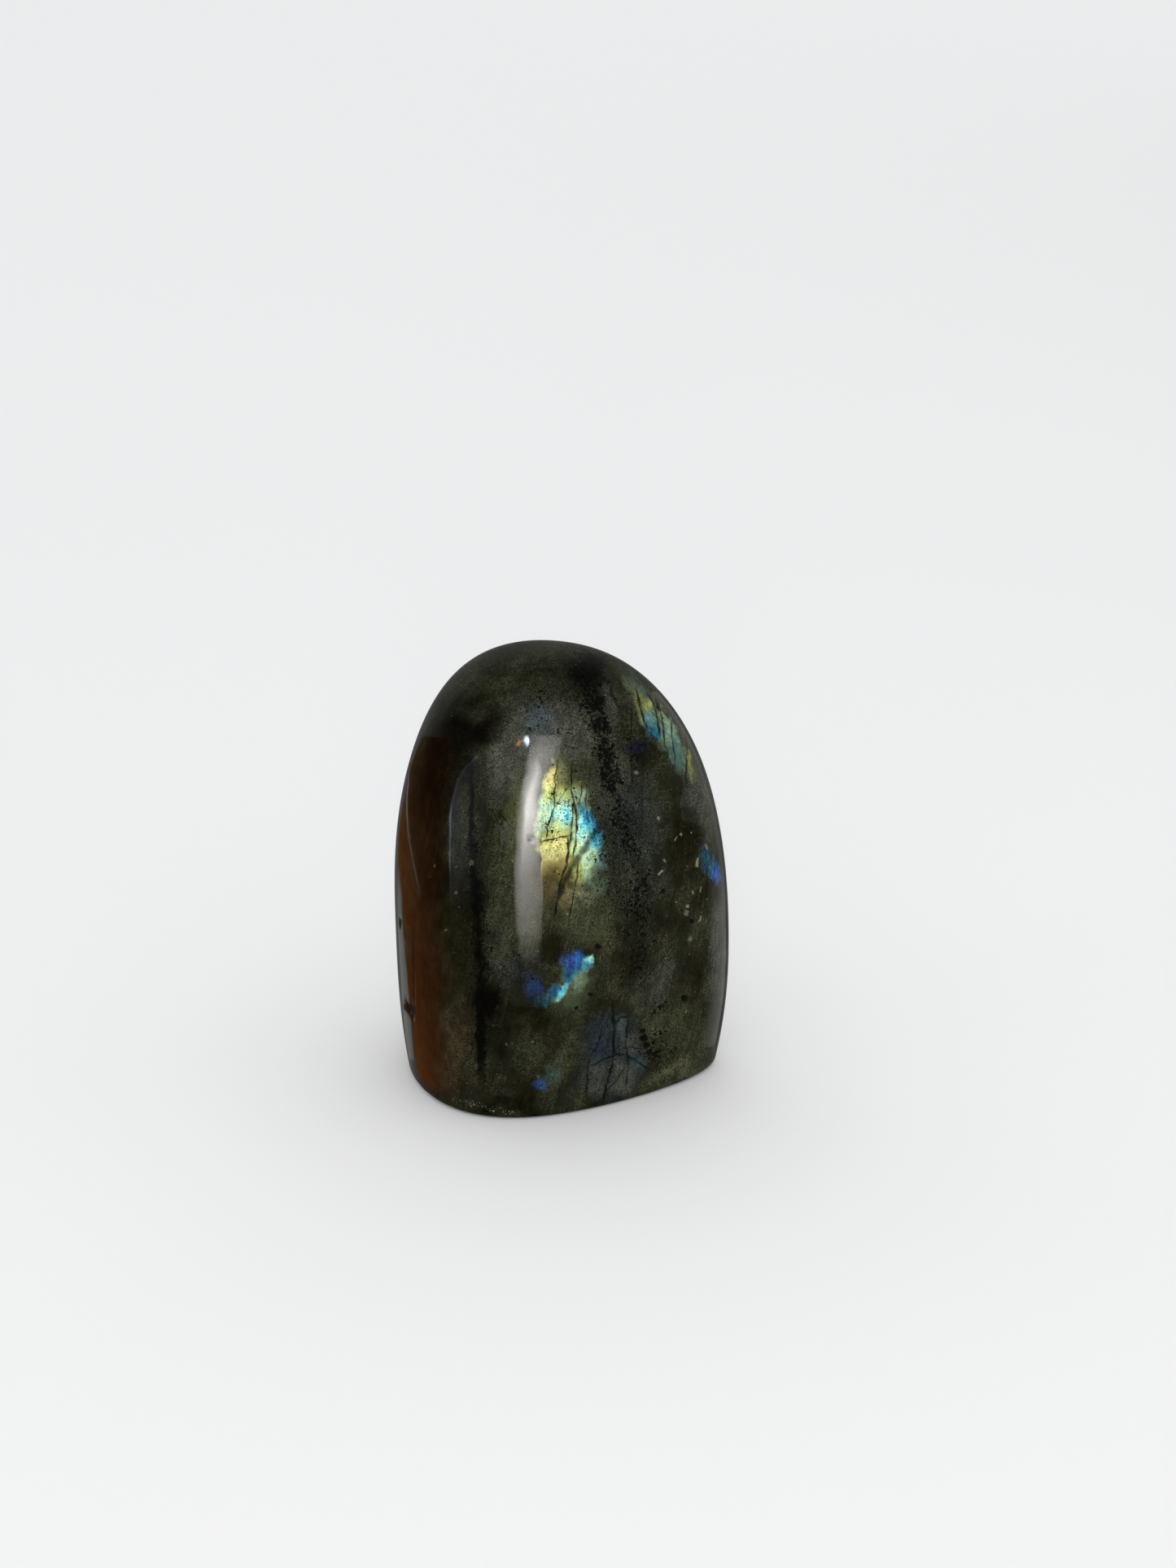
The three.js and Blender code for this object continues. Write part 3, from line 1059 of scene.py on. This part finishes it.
def labradorite_material(stone, surface):
    """The whole stone: body, flashes, inclusions, cracks, damage and polish."""
    shader = material_on(stone, "polished_labradorite")
    at = coordinates(shader, surface)
    grainy = shader.math("SUBTRACT", 1.0, on_front(shader, at, at.front.ragged, CALM, at.mm))
    colour = body_colour(shader, at, grainy)
    colour = with_flashes(shader, at, colour)
    colour = with_specks(shader, at, colour, grainy)
    colour = with_flecks(shader, at, colour, grainy)
    colour = with_cracks(shader, at, colour)
    colour, broken = with_damage(shader, at, colour)
    smears = shader.mapped(shader.noise(at.mm, SMEARS), *SMEAR_ROUGHNESS)
    waves = shader.noise(at.mm, POLISH_WAVES)
    principled = {
        "Base Color": colour,
        "Roughness": shader.mix(broken, smears, BROKEN_ROUGHNESS),
        "IOR": REFRACTION,
        "Normal": shader.add("Bump", {"Height": waves, "Distance": WAVE_DEPTH * MM}),
    }
    shader.end("OutputMaterial", shader.add("BsdfPrincipled", principled))


# The stage. Its floor is given in metres.
FLOOR_SIDE = 6.0
FLOOR_COLOUR = srgb(221, 220, 218)
FLOOR_ROUGHNESS = 0.9


def stage_sheet(name, points, faces):
    """A sheet of the stage, from points in metres."""
    sheet = make_object(name, points, faces)
    sheet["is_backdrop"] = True
    return sheet


def make_floor():
    """A matt pale floor, which the polish doesn't mirror."""
    reach = FLOOR_SIDE / 2
    corners = [(-reach, -reach, 0), (reach, -reach, 0), (reach, reach, 0), (-reach, reach, 0)]
    floor = stage_sheet("floor", corners, [(0, 1, 2, 3)])
    floor.visible_glossy = False
    shader = material_on(floor, "floor_paint")
    paint = {"Base Color": FLOOR_COLOUR, "Roughness": FLOOR_ROUGHNESS}
    shader.end("OutputMaterial", shader.add("BsdfPrincipled", paint))


# What the polish mirrors: sheets that glow, each given by rows of points in its mirror image. A row
# is its pixel down, the pixels across, and how strongly the sheet glows at each.
WINDOW = (
    (904, (650, 660, 671, 682, 696), (0.5, 1.4, 1.7, 1.5, 0)),
    (917, (651, 661, 668, 680, 692), (1.2, 2.8, 2.9, 2.4, 0)),
    (930, (648, 656, 661, 675, 688), (0.8, 3.8, 4.6, 3.5, 0)),
    (950, (646, 653, 659, 668, 677), (1, 7.5, 11, 3.6, 0.6)),
    (975, (638, 645, 652, 660, 669), (0.8, 8, 17, 8, 1.2)),
    (1000, (636, 642, 647, 656, 665), (1, 5.5, 17, 13, 2)),
    (1025, (634, 640, 645, 653, 663), (1, 5, 11.5, 9, 2.4)),
    (1042, (632, 638, 643, 652, 664), (0.8, 3.6, 8.2, 6.8, 2.4)),
    (1075, (632, 636, 642, 652, 666), (1.4, 3.4, 4.8, 4, 2)),
    (1110, (632, 636, 642, 652, 667), (0.8, 2.6, 3.1, 2.8, 1.7)),
    (1140, (634, 638, 644, 653, 667), (0.4, 1.9, 2.2, 2, 0.9)),
    (1165, (637, 642, 648, 656, 666), (0.1, 0.6, 0.7, 0.5, 0.1)),
    (1185, (640, 646, 651, 658, 665), (0, 0, 0, 0, 0)),
)
DOORWAY = (
    (929, (585, 587, 589, 594, 596), (0, 1.3, 0.2, 0.1, 0)),
    (942, (571, 573, 575, 590, 602), (0, 0.8, 0.2, 0.1, 0)),
    (958, (561, 562.5, 564, 585, 604), (0, 0.6, 0.25, 0.1, 0)),
    (985, (554, 555.5, 557.5, 580, 604), (0, 0.9, 0.3, 0.12, 0)),
    (1005, (551.6, 553, 554.4, 580, 604), (0, 3.6, 0.35, 0.12, 0)),
    (1045, (551.2, 552.6, 554, 580, 604), (0, 2.6, 0.25, 0.1, 0)),
    (1075, (551.2, 552.6, 554, 580, 604), (0, 0.5, 0.15, 0.06, 0)),
    (1130, (550, 552, 556, 580, 600), (0, 0.03, 0.03, 0, 0)),
)
WARM_WALL = (
    (905, (519, 523, 526, 540, 556), (0.05, 0.05, 0.03, 0.01, 0)),
    (950, (503, 506, 509, 526, 552), (0.14, 0.1, 0.05, 0.02, 0)),
    (1000, (493, 500, 504, 520, 552), (0.2, 0.22, 0.07, 0.02, 0)),
    (1050, (489, 504, 510, 524, 552), (0.22, 0.24, 0.1, 0.04, 0)),
    (1100, (494, 510, 517, 530, 554), (0.26, 0.24, 0.12, 0.06, 0)),
    (1160, (498, 508, 520, 534, 556), (0.24, 0.2, 0.18, 0.12, 0)),
    (1250, (506, 512, 522, 538, 562), (0.28, 0.3, 0.27, 0.16, 0)),
    (1320, (514, 520, 528, 546, 568), (0.3, 0.3, 0.28, 0.2, 0)),
    (1337, (524, 528, 536, 552, 572), (0.26, 0.26, 0.24, 0.16, 0)),
)
EDGE_LIGHT = (
    (940, (503.5, 505, 506.5), (0, 0.1, 0)),
    (962, (500, 501.5, 503), (0, 0.4, 0)),
    (985, (498.5, 500, 501.5), (0, 0.5, 0)),
    (1010, (499.5, 501, 502.5), (0, 0.5, 0)),
    (1034, (502, 503.5, 505), (0, 0.5, 0)),
    (1064, (507.5, 509, 510.5), (0, 0.6, 0)),
    (1096, (513.5, 515, 516.5), (0, 0.3, 0)),
)
LEFT_WALL = (
    (1060, (488, 490, 492, 494), (0.1, 0.15, 0.1, 0)),
    (1100, (488, 490, 492.5, 494.5), (0.25, 0.35, 0.3, 0)),
    (1150, (489.5, 492, 495, 497), (0.3, 0.4, 0.35, 0)),
    (1200, (492, 496, 501, 503), (0.35, 0.45, 0.4, 0)),
    (1228, (494, 497.5, 502.5, 505), (0.3, 0.4, 0.4, 0)),
    (1238, (495, 498, 503, 505), (0.3, 0.1, 0.1, 0)),
    (1248, (495.5, 499, 504, 506), (0.3, 0.4, 0.4, 0)),
    (1300, (502.5, 505, 508, 510), (0.2, 0.3, 0.3, 0)),
)
RIGHT_WALL = (
    (850, (790, 797, 803, 807), (0, 0.4, 0.5, 0.4)),
    (900, (826, 834, 840, 843), (0, 0.4, 0.5, 0.4)),
    (960, (850, 858, 864, 867), (0, 0.2, 0.3, 0.3)),
    (1050, (868, 876, 884, 887), (0, 0.15, 0.3, 0.3)),
    (1150, (870, 880, 888, 892), (0, 0.35, 0.6, 0.5)),
    (1230, (867, 877, 885, 888), (0, 0.35, 0.6, 0.5)),
    (1285, (858, 868, 875, 878), (0, 0.3, 0.5, 0.4)),
)
LAMP = (
    (903, (645.5, 648, 650.5), (0, 4, 0)),
    (910, (643, 647.5, 652), (4, 55, 4)),
    (918, (645.5, 648, 650.5), (0, 4, 0)),
)
SMALL_LAMP = (
    (909, (637, 640, 641), (0, 8, 0)),
    (912, (635, 637, 640), (6, 14, 4)),
    (916, (633, 634, 637), (0, 4, 0)),
)

# How far the sheets stand from the stone, in millimetres, and their colours
FAR_SHEET = 600.0
NEAR_SHEET = 550.0
LIGHT_BLUE = srgb(205, 222, 255)
DAYLIGHT = srgb(255, 252, 246)
PALE_WALL = srgb(250, 250, 244)
TERRACOTTA = srgb(235, 138, 78)
AMBER = srgb(255, 170, 90)
REFLECTIONS = (
    ("window", WINDOW, DAYLIGHT, FAR_SHEET),
    ("doorway", DOORWAY, LIGHT_BLUE, FAR_SHEET),
    ("warm_wall", WARM_WALL, TERRACOTTA, FAR_SHEET),
    ("edge_light", EDGE_LIGHT, PALE_WALL, NEAR_SHEET),
    ("left_wall", LEFT_WALL, PALE_WALL, FAR_SHEET),
    ("right_wall", RIGHT_WALL, PALE_WALL, FAR_SHEET),
    ("lamp", LAMP, LIGHT_BLUE, FAR_SHEET),
    ("small_lamp", SMALL_LAMP, AMBER, FAR_SHEET),
)


def make_reflection(surface, name, rows, colour, distance):
    """A glowing sheet that is shaped so that its mirror image in the polish fills the rows."""
    points, strengths = [], []
    for down, places, row_strengths in rows:
        strengths += row_strengths
        for across in places:
            hit, direction = mirror_ray(surface, (across, down))
            points.append((hit + direction * distance) * MM)
    width = len(rows[0][1])
    starts = [row * width + column for row in range(len(rows) - 1) for column in range(width - 1)]
    sheet = stage_sheet(name, points, [(s, s + 1, s + width + 1, s + width) for s in starts])
    sheet.visible_camera = False
    sheet.data.attributes.new("strength", "FLOAT", "POINT").data.foreach_set("value", strengths)
    shader = material_on(sheet, name)
    strength = shader.add("Attribute", {}, "Fac", attribute_name="strength")
    glow = shader.add("Emission", {"Color": colour, "Strength": strength})
    shader.end("OutputMaterial", glow)


# The sky, and the room in the polish: between which directions it brightens, and its strengths
SKY_COLOUR = srgb(250, 252, 255)
SKY_STRENGTH = 1.25
DIM_ROOM = (0.0, 0.9, 0.01, 0.14)


def make_world():
    """Soft daylight on what is matt, and a dim room in the polish."""
    world = bpy.data.worlds.new("studio")
    bpy.context.scene.world = world
    shader = Shader(world)
    towards = shader.sides(shader.add("TexCoord", {}, "Generated"))
    mirrored = shader.add("LightPath", {}, "Is Glossy Ray")
    strength = shader.mix(mirrored, SKY_STRENGTH, shader.mapped(towards["Y"], *DIM_ROOM))
    shader.end("OutputWorld", shader.add("Background", {"Color": SKY_COLOUR, "Strength": strength}))


make_camera()
stone = make_stone()
surface = surface_of(stone)
press(stone, surface, DENTS)
labradorite_material(stone, surface)
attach(stone, "root")
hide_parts(NODE)

make_floor()
make_world()
for reflection in REFLECTIONS:
    make_reflection(surface, *reflection)
bpy.context.scene.view_settings.view_transform = "Standard"

boxes = {"cad": CAD_BOX, "visual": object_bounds()}
{name: [list(corner) for corner in box] for name, box in boxes.items()}
